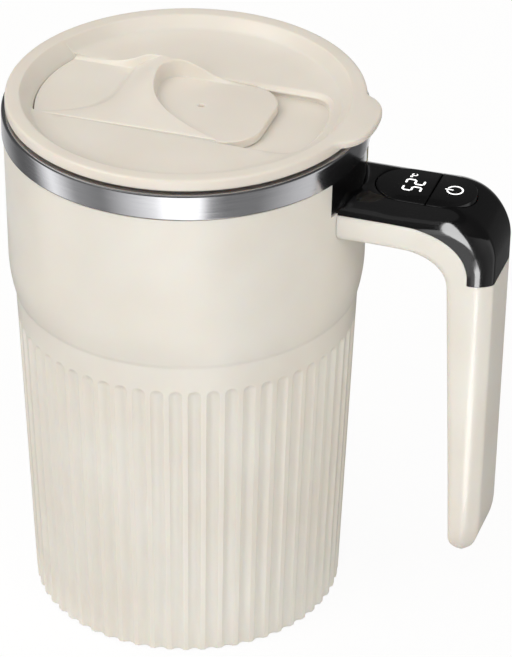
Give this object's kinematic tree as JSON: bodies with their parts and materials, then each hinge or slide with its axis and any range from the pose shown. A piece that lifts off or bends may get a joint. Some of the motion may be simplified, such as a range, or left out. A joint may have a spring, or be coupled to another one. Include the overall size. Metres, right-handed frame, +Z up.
{
  "type": "self-stirring cup",
  "caption": "Self-stirring insulated cup with a fluted lower body, a steel rim band, a press-on lid with a sliding drink closure, and an open handle with a temperature display and power button.",
  "frame": {"origin": "centre of the base pad's underside, on which the cup stands", "axes": "+Z up along the cup's axis; +X towards the handle"},
  "size_m": [0.1284, 0.092, 0.1432],
  "materials": {
    "cream_plastic": "satin moulded cream plastic",
    "lid_plastic": "satin moulded plastic, a little warmer than the body",
    "black_plastic": "high gloss black",
    "smoked_window": "smoked glossy window",
    "polished_steel": "polished stainless steel",
    "brushed_steel": "drawn and brushed stainless steel",
    "inner_plastic": "plain moulded inner parts and boards",
    "silicone": "soft matt silicone",
    "bronze": "sintered bronze",
    "copper": "varnished copper winding on laminations",
    "magnet": "ferrite and plated magnets",
    "cell_wrap": "shrink film over the cell",
    "lead_sleeve": "soft sleeve over the leads"
  },
  "bodies": {
    "cup": {"outer_shell": "cream_plastic", "base_cover": "cream_plastic", "handle_shell": "cream_plastic", "handle_cover": "black_plastic", "display_window": "smoked_window", "rim_band": "polished_steel", "pivot_pin": "polished_steel", "charge_socket": "polished_steel", "button_switch": "polished_steel", "base_screw_1": "polished_steel", "base_screw_2": "polished_steel", "base_screw_3": "polished_steel", "mount_screw_1": "polished_steel", "mount_screw_2": "polished_steel", "mount_screw_3": "polished_steel", "motor_screw_1": "polished_steel", "motor_screw_2": "polished_steel", "handle_screw_1": "polished_steel", "handle_screw_2": "polished_steel", "bracket_screw_1": "polished_steel", "bracket_screw_2": "polished_steel", "board_screw_1": "polished_steel", "board_screw_2": "polished_steel", "inner_cup": "brushed_steel", "motor_can": "brushed_steel", "handle_bracket": "brushed_steel", "motor_mount": "inner_plastic", "motor_end_cap": "inner_plastic", "battery_carrier": "inner_plastic", "display_module": "inner_plastic", "control_board": "inner_plastic", "charge_board": "inner_plastic", "base_gasket": "silicone", "base_pad": "silicone", "button_pad": "silicone", "motor_bush": "bronze", "temperature_sensor": "bronze", "motor_magnet_1": "magnet", "motor_magnet_2": "magnet", "battery": "cell_wrap", "motor_lead": "lead_sleeve", "sensor_lead": "lead_sleeve", "battery_lead": "lead_sleeve"},
    "rotor": {"motor_shaft": "polished_steel", "motor_armature": "copper", "drive_hub": "inner_plastic", "drive_magnet_1": "magnet", "drive_magnet_2": "magnet"},
    "stirrer": {"stirrer": "inner_plastic", "stirrer_magnet_1": "magnet", "stirrer_magnet_2": "magnet", "stirrer_cap": "inner_plastic"},
    "lid": {"lid_body": "lid_plastic", "lid_seal": "silicone"},
    "slider": {"lid_slider": "lid_plastic", "slider_seal": "silicone"},
    "button": {"power_button": "black_plastic"},
    "plug": {"charge_plug": "silicone"}
  },
  "joints": [
    {"name": "lid_lift", "type": "slide", "parent": "cup", "child": "lid", "axis": [0, 0, 1], "range_m": [0, 0.05]},
    {"name": "slider_slide", "type": "slide", "parent": "lid", "child": "slider", "axis": [1, 0, 0], "range_m": [0, 0.012]},
    {"name": "button_press", "type": "slide", "parent": "cup", "child": "button", "axis": [0, 0, -1], "range_m": [0, 0.0005], "stiffness_N_per_m": 400},
    {"name": "rotor_spin", "type": "hinge", "parent": "cup", "child": "rotor", "pos_m": [0, 0, 0.0295], "axis": [0, 0, 1], "continuous": true},
    {"name": "stirrer_spin", "type": "hinge", "parent": "cup", "child": "stirrer", "pos_m": [0, 0, 0.0365], "axis": [0, 0, 1], "continuous": true},
    {"name": "plug_pull", "type": "slide", "parent": "cup", "child": "plug", "axis": [0, 0, -1], "range_m": [0, 0.012]}
  ],
  "couplings": [
    {"joint": "stirrer_spin", "follows": "rotor_spin", "ratio": 1}
  ]
}
